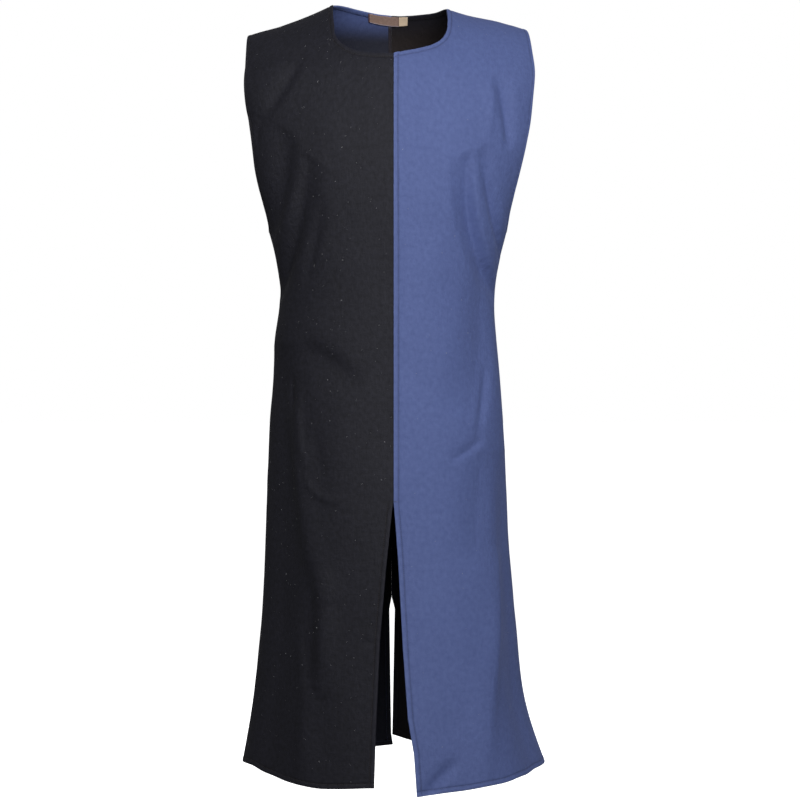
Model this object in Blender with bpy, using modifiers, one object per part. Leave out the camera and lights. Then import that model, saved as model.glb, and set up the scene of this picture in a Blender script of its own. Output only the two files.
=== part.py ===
"""Tabard: a sleeveless, knee-length overgarment in two colours, worn over the shoulders.

Four cloth panels, black and blue turned about, hang from the shoulder seams. The front and the
back are each cut in two down the middle and slit below. Metres, +Z up, the front faces -Y and the
wearer's left is +X. The origin is the middle of the shoulders, where the wearer carries it.

Every panel is a loft between unlike sections: `surface` gives a point of the garment from how far
round it lies, 0 at the middle and 1 at the side seam, and how far down the cloth from the shoulder
ridge, its run. A panel is the patch of that surface between its own four edges.
"""

import bpy
import numpy as np


def table(names, rows):
    """A short table of numbers as its named columns."""
    return dict(zip(names.split(), np.array(rows, float).T))


# Cloth, its turned hems and its seams
CLOTH = 0.0012
HEM_CLOTH = 0.0024
HEM_WIDTH = 0.008
HEM_STEP = 0.0015
SEAM_GAP = 0.0003
SHOULDER_GAP = 0.0005
SEAM_LINE = 0.003
LAP_WIDTH = 0.0065
LAP_LIFT = CLOTH + 0.0004

# How far round a panel reaches at its side seam, 0.3 mm short of its neighbour's
SIDE_SEAM = 0.9996

# Lines of each panel's mesh: across between its hems, and down
LINES_ACROSS = 11
LAST_ROW = 40

# Shoulder ridge: how high it runs above the origin, by its distance from the middle, which it
# crosses level. The neck opening takes its crown away
RIDGE = table("across right left", (
    (-0.090, 0.0233, 0.0157),
    (0.000, 0.0520, 0.0520),
    (0.090, 0.0233, 0.0157),
    (0.170, -0.0090, -0.0040),
    (0.220, -0.0220, -0.0180),
    (0.280, -0.0400, -0.0360),
))
RIDGE_FADE = 0.15
DROP_STEPS = 60
SHOULDER_ROUND = {"front": 0.120, "back": 0.085}
SECTION_ROUND = {"front": 0.85, "back": 0.90}

# A row for each level section of the garment, by its drop below the shoulders: its half widths
# on the wearer's right and left, and the depth of each quarter
SECTIONS = table("drop right left front_right front_left back_right back_left", (
    (0.000, 0.2620, 0.2620, 0.088, 0.088, 0.080, 0.080),
    (0.060, 0.2540, 0.2500, 0.098, 0.098, 0.092, 0.092),
    (0.120, 0.2450, 0.2380, 0.114, 0.114, 0.102, 0.102),
    (0.180, 0.2310, 0.2220, 0.125, 0.125, 0.108, 0.108),
    (0.240, 0.2175, 0.2015, 0.129, 0.129, 0.108, 0.108),
    (0.300, 0.1965, 0.1810, 0.129, 0.129, 0.103, 0.103),
    (0.360, 0.1790, 0.1655, 0.126, 0.126, 0.096, 0.096),
    (0.430, 0.1723, 0.1565, 0.123, 0.123, 0.090, 0.090),
    (0.550, 0.1830, 0.1640, 0.125, 0.125, 0.093, 0.093),
    (0.675, 0.1908, 0.1723, 0.131, 0.131, 0.102, 0.102),
    (0.800, 0.1955, 0.1785, 0.137, 0.139, 0.108, 0.108),
    (0.920, 0.2015, 0.1877, 0.141, 0.154, 0.110, 0.116),
    (1.045, 0.2138, 0.2031, 0.145, 0.172, 0.112, 0.132),
    (1.145, 0.2320, 0.2370, 0.150, 0.187, 0.115, 0.150),
))

# Neckline, from the middle to just short of the neck point on the shoulder ridge
NECK = {
    "front": table("across_right z_right across_left z_left", (
        (0.0000, -0.0733, 0.0000, -0.0730),
        (0.0330, -0.0702, 0.0370, -0.0637),
        (0.0560, -0.0651, 0.0600, -0.0558),
        (0.0715, -0.0560, 0.0748, -0.0448),
        (0.0840, -0.0400, 0.0817, -0.0322),
        (0.0866, -0.0214, 0.0845, -0.0118),
        (0.0895, 0.0050, 0.0842, 0.0080),
    )),
    "back": table("across_right z_right across_left z_left", (
        (0.0000, 0.0213, 0.0000, 0.0213),
        (0.0200, 0.0222, 0.0125, 0.0197),
        (0.0380, 0.0238, 0.0250, 0.0188),
        (0.0560, 0.0252, 0.0480, 0.0183),
        (0.0700, 0.0258, 0.0660, 0.0184),
    )),
}
NECK_POINT = {"right": 0.0905, "left": 0.0840}
SHOULDER_TIP = {"right": 0.2195, "left": 0.2010}

# Armhole: how far round each panel reaches, from under the shoulder tip to the underarm
ARMHOLE = table("z right left", (
    (-0.0450, 0.650, 0.610),
    (-0.0800, 0.678, 0.672),
    (-0.1200, 0.700, 0.692),
    (-0.1625, 0.728, 0.727),
    (-0.1920, 0.749, 0.742),
    (-0.2210, 0.777, 0.770),
    (-0.2520, 0.806, 0.800),
    (-0.2800, 0.840, 0.834),
    (-0.3050, 0.884, 0.878),
    (-0.3200, 0.938, 0.935),
))
UNDERARM = -0.325

# Middle edge of each panel by height: the seam, then the slit. The right front runs on under the
# left one as far as its lap
SEAM_FRONT = 0.0030
SEAM_BACK = -0.0013
MIDDLE = {
    "front_right": table("z x", (
        (0.0000, SEAM_FRONT + LAP_WIDTH),
        (-0.7150, SEAM_FRONT + LAP_WIDTH),
        (-0.7330, 0.0025),
        (-0.7456, 0.0007),
        (-0.8295, -0.0080),
        (-0.9305, -0.0167),
        (-1.0600, -0.0224),
        (-1.1500, -0.0252),
    )),
    "front_left": table("z x", (
        (0.0000, SEAM_FRONT),
        (-0.7330, SEAM_FRONT),
        (-0.7520, 0.0046),
        (-0.8148, 0.0094),
        (-0.9425, 0.0166),
        (-1.0404, 0.0237),
        (-1.0889, 0.0323),
        (-1.1500, 0.0366),
    )),
    "back_right": table("z x", (
        (0.1000, SEAM_BACK - SEAM_GAP / 2),
        (-0.8980, SEAM_BACK - SEAM_GAP / 2),
        (-0.9160, -0.0064),
        (-1.1200, -0.0038),
        (-1.1500, -0.0014),
    )),
    "back_left": table("z x", (
        (0.1000, SEAM_BACK + SEAM_GAP / 2),
        (-0.8980, SEAM_BACK + SEAM_GAP / 2),
        (-0.9160, 0.0058),
        (-1.1266, 0.0019),
        (-1.1500, 0.0019),
    )),
}

# Height of the hem by how far round it lies
HEM = table("around front_right front_left back_right back_left", (
    (0.00, -1.1412, -1.1450, -1.1375, -1.1262),
    (0.10, -1.1416, -1.1445, -1.1408, -1.1375),
    (0.20, -1.1428, -1.1412, -1.1410, -1.1400),
    (0.40, -1.1437, -1.1384, -1.1400, -1.1395),
    (0.60, -1.1325, -1.1340, -1.1385, -1.1385),
    (0.80, -1.1305, -1.1308, -1.1370, -1.1375),
    (1.00, -1.1365, -1.1370, -1.1365, -1.1370),
))

# Where the mesh's rows meet the middle edge, between the neckline and the hem, and the outer
# edge, on which 0 to 1 is the shoulder seam, 1 to 2 the armhole and 2 to 3 the side seam
ROWS = {
    "front": table("row z outer", (
        (6, -0.1650, 1.00),
        (7, -0.1850, 1.04),
        (19, -0.4150, 2.00),
        (28, -0.7150, 2.47),
        (29, -0.7330, 2.50),
        (30, -0.7520, 2.53),
    )),
    "back": table("row z outer", (
        (6, -0.1300, 1.00),
        (7, -0.1500, 1.04),
        (19, -0.4000, 2.00),
        (32, -0.8980, 2.66),
        (33, -0.9160, 2.69),
        (34, -0.9350, 2.72),
    )),
}
SLIT_ROW = {"front": 29, "back": 33}

# Large soft folds. A fold runs from its start to its end, each given by how far round it lies and
# its height, bowed sideways at its middle. Its depth is negative for a trough
FOLD_SPAN = 0.27
FOLD_FULLNESS = 0.8
FOLD_NAMES = "start start_z end end_z bow half_width depth"
FOLDS = {
    "front_right": table(FOLD_NAMES, (
        (0.30, -0.090, 0.62, -0.190, 0.010, 0.016, -0.004),
        (0.50, -0.190, 0.80, -0.340, 0.016, 0.018, -0.005),
        (0.42, -0.265, 0.78, -0.420, 0.020, 0.020, -0.008),
        (0.58, -0.410, 0.20, -0.500, -0.012, 0.018, -0.004),
        (0.66, -0.480, 0.42, -0.960, 0.020, 0.030, 0.006),
        (0.80, -0.560, 0.66, -1.050, 0.010, 0.035, -0.007),
    )),
    "front_left": table(FOLD_NAMES, (
        (0.52, -0.100, 0.66, -0.190, 0.008, 0.014, -0.003),
        (0.44, -0.190, 0.86, -0.380, 0.020, 0.018, -0.004),
        (0.30, -0.205, 0.74, -0.410, 0.030, 0.020, -0.008),
        (0.30, -0.675, 0.50, -0.640, 0.006, 0.016, 0.004),
        (0.50, -0.550, 0.46, -0.660, 0.004, 0.020, -0.005),
        (0.60, -0.900, 0.52, -1.160, 0.006, 0.026, -0.007),
    )),
    "back_right": table(FOLD_NAMES, (
        (0.46, -0.120, 0.86, -0.370, 0.024, 0.020, -0.006),
        (0.30, -0.230, 0.80, -0.440, 0.026, 0.022, -0.007),
        (0.50, -0.520, 0.44, -1.120, 0.010, 0.034, -0.007),
        (0.78, -0.560, 0.70, -1.080, 0.010, 0.030, 0.005),
    )),
    "back_left": table(FOLD_NAMES, (
        (0.50, -0.110, 0.88, -0.350, 0.020, 0.018, -0.005),
        (0.34, -0.200, 0.82, -0.430, 0.030, 0.022, -0.008),
        (0.40, -0.560, 0.50, -1.130, 0.012, 0.030, -0.006),
        (0.74, -0.620, 0.72, -1.120, 0.008, 0.034, 0.006),
    )),
}

# Colours of 0 to 255, and which face, side and colour makes each panel
BLACK = (47, 47, 54)
BLUE = (90, 104, 152)
PANELS = {
    "front_right": ("front", "right", BLACK),
    "front_left": ("front", "left", BLUE),
    "back_right": ("back", "right", BLUE),
    "back_left": ("back", "left", BLACK),
}
CLOTH_ROUGHNESS = 0.9
LABEL_ROUGHNESS = 0.8
SIGN = {"right": -1, "left": 1, "front": -1, "back": 1}

# Bare labels sewn inside the back neck: from x to x, length, colour
LABEL_CLOTH = 0.0010
LABEL_GAP = 0.0006
LABEL_TOP = 0.0008
LABEL_ROWS = 5
LABELS = {
    "label": (-0.0380, 0.0106, 0.0150, (123, 102, 97)),
    "size_tab": (0.0110, 0.0250, 0.0165, (184, 164, 146)),
}


def smooth(x, xs, ys):
    """A smooth curve through a short table, each piece a cubic with its neighbours' slopes."""
    slope = np.gradient(ys, xs)
    i = np.clip(np.searchsorted(xs, x) - 1, 0, len(xs) - 2)
    step = xs[i + 1] - xs[i]
    t = (x - xs[i]) / step
    start = (1 + 2 * t) * (1 - t) ** 2 * ys[i] + t * (1 - t) ** 2 * step * slope[i]
    end = t * t * (3 - 2 * t) * ys[i + 1] + t * t * (t - 1) * step * slope[i + 1]
    return start + end


def section(name, drop):
    return smooth(drop, SECTIONS["drop"], SECTIONS[name])


def ridge(side, across):
    return smooth(np.abs(across), RIDGE["across"], RIDGE[side])


def hem_height(face, side, around):
    return smooth(around, HEM["around"], HEM[face + "_" + side])


def fall(face, run):
    """Drop and outward share at a run down the cloth: a quarter round, then straight down."""
    radius = SHOULDER_ROUND[face]
    turn = np.minimum(run / radius, np.pi / 2)
    drop = radius * (1 - np.cos(turn)) + np.maximum(run - radius * np.pi / 2, 0)
    return drop, np.sin(turn)


def run_at(face, drop):
    """The run at which the cloth has fallen by a drop: the inverse of `fall`."""
    radius = SHOULDER_ROUND[face]
    turn = np.arccos(np.clip(1 - drop / radius, -1, 1))
    return np.where(drop < radius, radius * turn, radius * np.pi / 2 + drop - radius)


def surface(face, side, around, run):
    """A point of the garment: a rounded section at its drop below the shoulder ridge."""
    drop, share = fall(face, run)
    angle = around * np.pi / 2
    across = section(side, drop) * np.sin(angle)
    cosine = np.cos(angle)
    depth = np.sign(cosine) * np.abs(cosine) ** SECTION_ROUND[face]
    y = SIGN[face] * section(face + "_" + side, drop) * depth * share
    z = ridge(side, across) * np.exp(-drop / RIDGE_FADE) - drop
    return np.stack([SIGN[side] * across, y, z], -1)


def outward(face, side, around, run):
    """The surface's outward normal, from points a little to each side."""
    step = 0.001
    along = surface(face, side, around + step, run) - surface(face, side, around - step, run)
    down = surface(face, side, around, run + step) - surface(face, side, around, run - step)
    normal = np.cross(along, down) * SIGN[face] * SIGN[side]
    return normal / np.linalg.norm(normal, axis=-1, keepdims=True)


def seen_at(face, side, x, z):
    """How far round and down the cloth the point lies that is at x and z from the front. Each
    step halves what the drop is out by."""
    across = x * SIGN[side]
    height = ridge(side, across)
    drop = np.maximum(height - z, 0)
    for _ in range(DROP_STEPS):
        drop = (drop + np.maximum(height * np.exp(-drop / RIDGE_FADE) - z, 0)) / 2
    around = np.arcsin(np.clip(across / section(side, drop), -1, 1)) * 2 / np.pi
    return around, run_at(face, drop)


def through(first, between, last, t):
    """A smooth curve of around and run through its ends and the points between, t from 0 to 1."""
    around, run = (np.concatenate([[a], b, [c]]) for a, b, c in zip(first, between, last))
    steps = np.hypot(np.diff(around) * FOLD_SPAN, np.diff(run))
    length = np.concatenate([[0], np.cumsum(steps)])
    at = t * length[-1]
    return smooth(at, length, around), smooth(at, length, run)


def middle_edge(face, side, row):
    """The middle edge at a row: down the seam, then along the slit."""
    rows, edge = ROWS[face], MIDDLE[face + "_" + side]
    heights = [NECK[face]["z_" + side][0], *rows["z"], hem_height(face, side, 0.0)]
    z = np.interp(row, [0, *rows["row"], LAST_ROW], heights)
    x = np.interp(-z, -edge["z"], edge["x"])
    return seen_at(face, side, x, z)


def shoulder_edge(face, side, t):
    """The shoulder seam along the ridge, from the neck point at 0 to the tip at 1."""
    across = NECK_POINT[side] + (SHOULDER_TIP[side] - NECK_POINT[side]) * t
    around = np.arcsin(across / section(side, 0)) * 2 / np.pi
    depth = section(face + "_" + side, 0) * np.cos(around * np.pi / 2)
    return around, SHOULDER_GAP / 2 * SHOULDER_ROUND[face] / depth


def neck_edge(face, side, t):
    """The neckline, from the panel's middle edge at 0 to the neck point at 1."""
    x = SIGN[side] * NECK[face]["across_" + side][1:]
    between = seen_at(face, side, x, NECK[face]["z_" + side][1:])
    return through(middle_edge(face, side, 0), between, shoulder_edge(face, side, 0), t)


def armhole_edge(face, side, t):
    """The armhole, from the shoulder tip at 0 to the underarm at 1."""
    between = ARMHOLE[side], run_at(face, -ARMHOLE["z"])
    underarm = SIDE_SEAM, run_at(face, -UNDERARM)
    return through(shoulder_edge(face, side, 1), between, underarm, t)


def outer_edge(face, side, row):
    """The outer edge at a row: shoulder seam, armhole, then side seam down to the hem."""
    stage = np.interp(row, [0, *ROWS[face]["row"], LAST_ROW], [0, *ROWS[face]["outer"], 3])
    shoulder = shoulder_edge(face, side, np.clip(stage, 0, 1))
    armhole = armhole_edge(face, side, np.clip(stage - 1, 0, 1))
    top, foot = run_at(face, -UNDERARM), run_at(face, -hem_height(face, side, SIDE_SEAM))
    seam = SIDE_SEAM, top + (foot - top) * (stage - 2)
    parts = zip(shoulder, armhole, seam)
    return tuple(np.where(stage < 1, a, np.where(stage < 2, b, c)) for a, b, c in parts)


def hem_edge(face, side, t):
    """The hem, from the middle edge at 0 to the side seam at 1."""
    first = middle_edge(face, side, LAST_ROW)[0]
    around = first + (SIDE_SEAM - first) * t
    return around, run_at(face, -hem_height(face, side, around))


def patch(face, side, u, row):
    """A point of the panel between its four edges: the blends of the two pairs of edges, less
    the blend of the four corners."""
    v = row / LAST_ROW
    corner = {
        (u_end, row_end): np.reshape(edge(face, side, row_end), (2, *[1] * np.ndim(u)))
        for u_end, edge in ((0, middle_edge), (1, outer_edge))
        for row_end in (0, LAST_ROW)
    }
    down = (1 - v) * np.array(neck_edge(face, side, u)) + v * np.array(hem_edge(face, side, u))
    middle, outer = np.array(middle_edge(face, side, row)), np.array(outer_edge(face, side, row))
    across = (1 - u) * middle + u * outer
    upper = (1 - u) * corner[0, 0] + u * corner[1, 0]
    lower = (1 - u) * corner[0, LAST_ROW] + u * corner[1, LAST_ROW]
    return down + across - (1 - v) * upper - v * lower


def folds(face, side, around, z):
    """How far the soft folds push the cloth out, summed over the panel's table."""
    height = np.zeros_like(z)
    for start, start_z, end, end_z, bow, half_width, depth in zip(*FOLDS[face + "_" + side].values()):
        length = np.array(((end - start) * FOLD_SPAN, end_z - start_z))
        away = np.stack([(around - start) * FOLD_SPAN, z - start_z], -1)
        along = np.clip(away @ length / (length @ length), 0, 1)
        across = (away[..., 0] * length[1] - away[..., 1] * length[0]) / np.hypot(*length)
        off = across - 4 * bow * along * (1 - along)
        height += depth * np.exp(-((off / half_width) ** 2)) * np.sin(np.pi * along) ** FOLD_FULLNESS
    return height


def hem_lines(near, far, inner, last):
    """Lines from 0 to last: the inner ones, and beside each edge one at the hem's width and one
    past its step. Near and far are the hem's widths there, in the lines' own unit."""
    step = 1 + HEM_STEP / HEM_WIDTH
    lines = [0 * near, near, near * step, *inner, last - far * step, last - far, last + 0 * far]
    return np.stack(np.broadcast_arrays(*lines))


def panel_lines(face, side):
    """The u and the row of every point of a panel's mesh."""
    little = 0.002
    step = 1 + HEM_STEP / HEM_WIDTH
    rows = np.arange(1, LAST_ROW)
    down = np.concatenate([[0, 0, 0], rows, [LAST_ROW] * 3])
    shares = np.arange(1, LINES_ACROSS + 1) / (LINES_ACROSS + 1)
    across = np.concatenate([[0, 0, 0], shares, [1, 1, 1]])

    def speed(u, row, du, drow):
        """Metres of cloth for each unit of u or row."""
        a, b = (surface(face, side, *patch(face, side, u + k * du, row + k * drow)) for k in (0, 1))
        return np.linalg.norm(b - a, axis=-1) / (du + drow)

    on_shoulder = down < ROWS[face]["row"][0]
    near = HEM_WIDTH / speed(0 * down, down, little, 0)
    far = np.where(on_shoulder, SEAM_LINE, HEM_WIDTH) / speed(0 * down + 1 - little, down, little, 0)
    inner = [near * step + (1 - far * step - near * step) * share for share in shares]
    top = HEM_WIDTH / speed(across, 0 * across, 0, little)
    foot = HEM_WIDTH / speed(across, 0 * across + LAST_ROW - little, 0, little)
    return hem_lines(near, far, inner, 1).T, hem_lines(top, foot, list(rows), LAST_ROW)


def lap(face, side, row):
    """How far a point lies over the other front: 1 on the left front's first two lines, as far
    down as the slit."""
    share = np.zeros(row.shape)
    if (face, side) == ("front", "left"):
        share[:, :2] = np.clip(SLIT_ROW[face] + 1 - row[:, :2], 0, 1)
    return share


def turned(face, side, row, lapped):
    """Where the cloth is turned back and doubled: 1 on the edge and hem lines of a free edge."""
    share = np.zeros(row.shape)
    share[:2] = share[-2:] = 1
    share[:, :2][row[:, :2] >= SLIT_ROW[face]] = 1
    tip, underarm = ROWS[face]["row"][0], ROWS[face]["row"][2]
    share[:, -2:][(row[:, -2:] > tip) & (row[:, -2:] < underarm)] = 1
    share[:, :3][lapped[:, :1].repeat(3, 1) > 0] = 0
    return share


def panel_points(face, side):
    """The outer points of a panel with its folds, and where its cloth is doubled."""
    u, row = panel_lines(face, side)
    around, run = patch(face, side, u, row)
    level = surface(face, side, around, run)
    lapped = lap(face, side, row)
    out = folds(face, side, around, level[..., 2]) + LAP_LIFT * lapped
    points = level + outward(face, side, around, run) * out[..., None]
    return points, turned(face, side, row, lapped)


def line_down(points, x):
    """The line down a panel's own mesh at x, through its first rows."""
    sign = np.sign(points[0, -1, 0])
    rows = points[:LABEL_ROWS]
    return np.array([[np.interp(sign * x, sign * row[:, 0], row[:, k]) for k in range(3)] for row in rows])


def label_points(right, left, x_start, x_end, length):
    """A label's outer points: the back panels' own points, moved in past the neck hem."""
    lines = np.concatenate([right[0, :, 0], left[0, :, 0]])
    across = np.sort([x_start, x_end, *lines[(lines > x_start) & (lines < x_end)]])
    downs = np.array((LABEL_TOP, HEM_WIDTH, HEM_WIDTH + HEM_STEP, length))
    columns = []
    for x in across:
        line = line_down(right if x < SEAM_BACK else left, x)
        run = np.concatenate([[0], np.cumsum(np.linalg.norm(np.diff(line, axis=0), axis=1))])
        columns.append([[np.interp(down, run, line[:, k]) for k in range(3)] for down in downs])
    points = np.array(columns).transpose(1, 0, 2)
    inward = np.cross(np.gradient(points, axis=0), np.gradient(points, axis=1))
    inward /= np.linalg.norm(inward, axis=-1, keepdims=True)
    return points - inward * np.sign(inward[..., 1:2]) * (HEM_CLOTH + LABEL_GAP)


def make_material(name, colour, roughness):
    """A matte cloth of one colour, given as 0 to 255."""
    share = np.array(colour) / 255
    linear = np.where(share < 0.04045, share / 12.92, ((share + 0.055) / 1.055) ** 2.4)
    material = bpy.data.materials.new(name)
    material.use_nodes = True
    shader = material.node_tree.nodes["Principled BSDF"]
    shader.inputs["Base Color"].default_value = (*linear, 1)
    shader.inputs["Roughness"].default_value = roughness
    shader.inputs["Metallic"].default_value = 0
    return material


def make_cloth(name, points, turns_right, doubled, thick, thin, material, collection):
    """A wall of cloth inside a grid of points: thick where it is doubled, thin elsewhere."""
    rows, columns = points.shape[:2]
    index = np.arange(rows * columns).reshape(rows, columns)
    quads = np.stack([index[:-1, :-1], index[1:, :-1], index[1:, 1:], index[:-1, 1:]], -1)
    if turns_right:
        quads = quads[..., ::-1]
    mesh = bpy.data.meshes.new(name)
    mesh.from_pydata(points.reshape(-1, 3).tolist(), [], quads.reshape(-1, 4).tolist())
    mesh.shade_smooth()
    mesh.materials.append(material)
    cloth = bpy.data.objects.new(name, mesh)
    collection.objects.link(cloth)
    hem = cloth.vertex_groups.new(name="hem")
    hem.add([int(i) for i in index[doubled > 0.5]], 1, "REPLACE")
    wall = cloth.modifiers.new("wall", "SOLIDIFY")
    wall.thickness = thick
    wall.offset = -1
    wall.vertex_group = hem.name
    wall.thickness_vertex_group = thin / thick


def main():
    for o in list(bpy.data.objects):
        bpy.data.objects.remove(o, do_unlink=True)
    collection = bpy.data.collections.new("tabard")
    bpy.context.scene.collection.children.link(collection)

    panels = {}
    for name, (face, side, colour) in PANELS.items():
        panels[name], doubled = panel_points(face, side)
        material = make_material(name + "_cloth", colour, CLOTH_ROUGHNESS)
        turns_right = SIGN[face] == SIGN[side]
        make_cloth(name, panels[name], turns_right, doubled, HEM_CLOTH, CLOTH, material, collection)

    for name, (x_start, x_end, length, colour) in LABELS.items():
        points = label_points(panels["back_right"], panels["back_left"], x_start, x_end, length)
        material = make_material(name + "_cloth", colour, LABEL_ROUGHNESS)
        doubled = np.ones(points.shape[:2])
        make_cloth(name, points, True, doubled, LABEL_CLOTH, LABEL_CLOTH, material, collection)


main()
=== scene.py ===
"""Looks of the tabard: four panels of cotton canvas, black and blue turned about, as sewn and worn.

Every panel is one surface, worked out on a grid. `around` is how far round the body a point lies,
0 at the middle and 1 at the side seam, and `run` is how far down the cloth it lies from the shoulder
ridge. Hems, laps, creases, stitches and lint are all set off that surface along its normal.
"""

import bpy
import mathutils
import numpy as np
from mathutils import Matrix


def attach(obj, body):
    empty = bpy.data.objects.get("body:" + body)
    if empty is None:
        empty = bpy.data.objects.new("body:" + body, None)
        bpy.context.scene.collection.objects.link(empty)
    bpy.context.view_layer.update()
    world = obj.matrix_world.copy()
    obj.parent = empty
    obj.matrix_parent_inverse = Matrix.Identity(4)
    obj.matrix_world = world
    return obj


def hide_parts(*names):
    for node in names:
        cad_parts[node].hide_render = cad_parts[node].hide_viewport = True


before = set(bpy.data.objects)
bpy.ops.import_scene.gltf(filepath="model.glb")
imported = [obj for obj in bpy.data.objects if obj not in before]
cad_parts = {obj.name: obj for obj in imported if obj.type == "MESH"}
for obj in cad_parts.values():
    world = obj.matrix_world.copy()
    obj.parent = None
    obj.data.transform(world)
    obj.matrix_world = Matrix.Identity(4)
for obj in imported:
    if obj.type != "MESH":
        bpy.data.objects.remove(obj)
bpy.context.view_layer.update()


def metres(lengths):
    """Lengths in millimetres as metres, and so too thousandths as shares."""
    return np.round(np.array(lengths, float) / 1000, 7)


def table(names, rows, plain=""):
    """A short table as its named columns. A row gives lengths in millimetres and shares of the way
    round in thousandths. Columns named as plain stay as they are."""
    columns = zip(names.split(), np.array(rows, float).T)
    return {name: column if name in plain.split() else metres(column) for name, column in columns}


# The garment's form: that of its solids, its outline a few millimetres nearer the photograph. SPAN
# is about how far round the cloth a side seam lies from the middle
CLOTH = 0.0012
HEM_CLOTH = 0.0024
HEM_WIDTH = 0.008
HEM_END = 0.0087
LAP_LIFT = 0.0016
LAST_ROW = 40
SPAN = 0.27

# Height of the shoulders' ridge across each side, and how soon its shape fades down the cloth
RIDGE = table("across right left", (
    (-90, 23.3, 15.7),
    (0, 52, 52),
    (90, 24, 15.7),
    (106, 15.8, 10.4),
    (170, -10.3, -4.8),
    (220, -22.5, -18),
    (280, -40, -36),
))
RIDGE_FADE = 0.15
DROP_STEPS = 60
SHOULDER_ROUND = {"front": 0.12, "back": 0.085}
SECTION_ROUND = {"front": 0.85, "back": 0.9}

# Half width of each side and depth of each panel, by drop below the shoulders' ridge
SECTIONS = table("drop right left front_right front_left back_right back_left", (
    (0, 262, 262, 88, 88, 80, 80),
    (60, 254, 250, 98, 98, 92, 92),
    (120, 245, 238, 114, 114, 102, 102),
    (180, 231, 223.5, 125, 125, 108, 108),
    (240, 217.5, 204.3, 129, 129, 108, 108),
    (300, 196.8, 183.8, 129, 129, 103, 103),
    (360, 180.3, 168.1, 126, 126, 96, 96),
    (430, 173, 157.4, 123, 123, 90, 90),
    (490, 180.6, 160, 124, 124, 91, 91),
    (550, 183.9, 165, 125, 125, 93, 93),
    (610, 189.3, 169.5, 128, 128, 97, 97),
    (675, 191.4, 173.8, 131, 131, 102, 102),
    (800, 195.6, 180.8, 137, 139, 108, 108),
    (920, 202.3, 191.8, 141, 154, 110, 116),
    (1045, 215.1, 206.8, 145, 172, 112, 132),
    (1145, 232, 238.5, 150, 187, 115, 150),
))

# Neckline, from the middle to just short of the neck point
NECK = {}
NECK["front"] = table("across_right z_right across_left z_left", (
    (0, -73.3, 0, -73),
    (33, -70.2, 37, -63.7),
    (56, -65.1, 60, -55.8),
    (71.5, -56, 74.8, -44.8),
    (84, -40, 81.7, -32.2),
    (86.6, -21.4, 84.5, -11.8),
    (89.5, 5, 84.2, 8),
))
NECK["back"] = table("across_right z_right across_left z_left", (
    (0, 22.4, 0, 22.4),
    (20, 23.8, 12.5, 21.8),
    (38, 25.6, 25, 21.6),
    (56, 27.3, 48, 20.9),
    (70, 28, 66, 19.8),
))
NECK_POINT = {"right": 0.0905, "left": 0.084}
SHOULDER_TIP = {"right": 0.2205, "left": 0.203}

# Armhole: how far round each panel reaches, from under the shoulder tip to the underarm
ARMHOLE = table("z right left", (
    (-45, 667, 637),
    (-80, 691, 684),
    (-120, 712, 705),
    (-162.5, 739, 733),
    (-192, 758, 749),
    (-221, 780, 773),
    (-252, 806, 800),
    (-280, 840, 834),
    (-305, 884, 878),
    (-320, 938, 935),
))
UNDERARM = -0.325

# Middle edge of each panel by height: the seam, then the slit. The black front reaches under the lap
SEAM_FRONT_MM = 3
SEAM_BACK_MM = -1.3
LAP_WIDTH_MM = 6.5
MIDDLE = {}
MIDDLE["front_right"] = table("z x", (
    (0, SEAM_FRONT_MM + LAP_WIDTH_MM),
    (-715, SEAM_FRONT_MM + LAP_WIDTH_MM),
    (-733, 2.5),
    (-745.6, 0.7),
    (-829.5, -8),
    (-930.5, -16.7),
    (-1060, -22.4),
    (-1150, -25.2),
))
MIDDLE["front_left"] = table("z x", (
    (0, SEAM_FRONT_MM),
    (-733, SEAM_FRONT_MM),
    (-752, 4.6),
    (-814.8, 9.4),
    (-942.5, 16.6),
    (-1040.4, 23.7),
    (-1088.9, 32.3),
    (-1150, 36.6),
))
MIDDLE["back_right"] = table("z x", (
    (100, SEAM_BACK_MM),
    (-899.5, SEAM_BACK_MM),
    (-919, -4.8),
    (-1120, -1.8),
    (-1150, 2.9),
))
MIDDLE["back_left"] = table("z x", (
    (100, SEAM_BACK_MM),
    (-899.5, SEAM_BACK_MM),
    (-919, 3.9),
    (-1126.6, -0.4),
    (-1150, -0.4),
))

# Height of the hem by how far round it lies
HEM = table("around front_right front_left back_right back_left", (
    (0, -1143.4, -1147.6, -1138.2, -1128.5),
    (100, -1144, -1147.2, -1141.3, -1139.2),
    (200, -1146.4, -1143.4, -1141, -1140),
    (300, -1148.2, -1141.4, -1140.6, -1139.8),
    (400, -1146.3, -1139, -1140, -1139.5),
    (500, -1144.3, -1137.6, -1139.3, -1139),
    (600, -1140.1, -1134.6, -1138.5, -1138.5),
    (700, -1137, -1133.9, -1137.8, -1138),
    (800, -1132.2, -1132.2, -1137, -1137.5),
    (1000, -1136.5, -1137, -1136.5, -1137),
))

# Rows of cloth that meet the middle edge at a height, and the outer edge at a stage of it: 0 to 1
# is the shoulder seam, 1 to 2 the armhole and 2 to 3 the side seam
ROWS = {}
ROWS["front"] = table("row z outer", (
    (6, -165, 1),
    (7, -185, 1.04),
    (19, -415, 2),
    (28, -715, 2.47),
    (29, -733, 2.5),
    (30, -752, 2.53),
), "row outer")
ROWS["back"] = table("row z outer", (
    (6, -130, 1),
    (7, -150, 1.04),
    (19, -400, 2),
    (32, -899.5, 2.66),
    (33, -919, 2.69),
    (34, -937, 2.72),
), "row outer")
SLIT_ROW = {"front": 29, "back": 33}
TIP_ROW = 6
UNDERARM_ROW = 19

PANELS = {
    "front_right": ("front", "right", "black"),
    "front_left": ("front", "left", "blue"),
    "back_right": ("back", "right", "blue"),
    "back_left": ("back", "left", "black"),
}
SIGN = {"right": -1, "left": 1, "front": -1, "back": 1}

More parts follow.
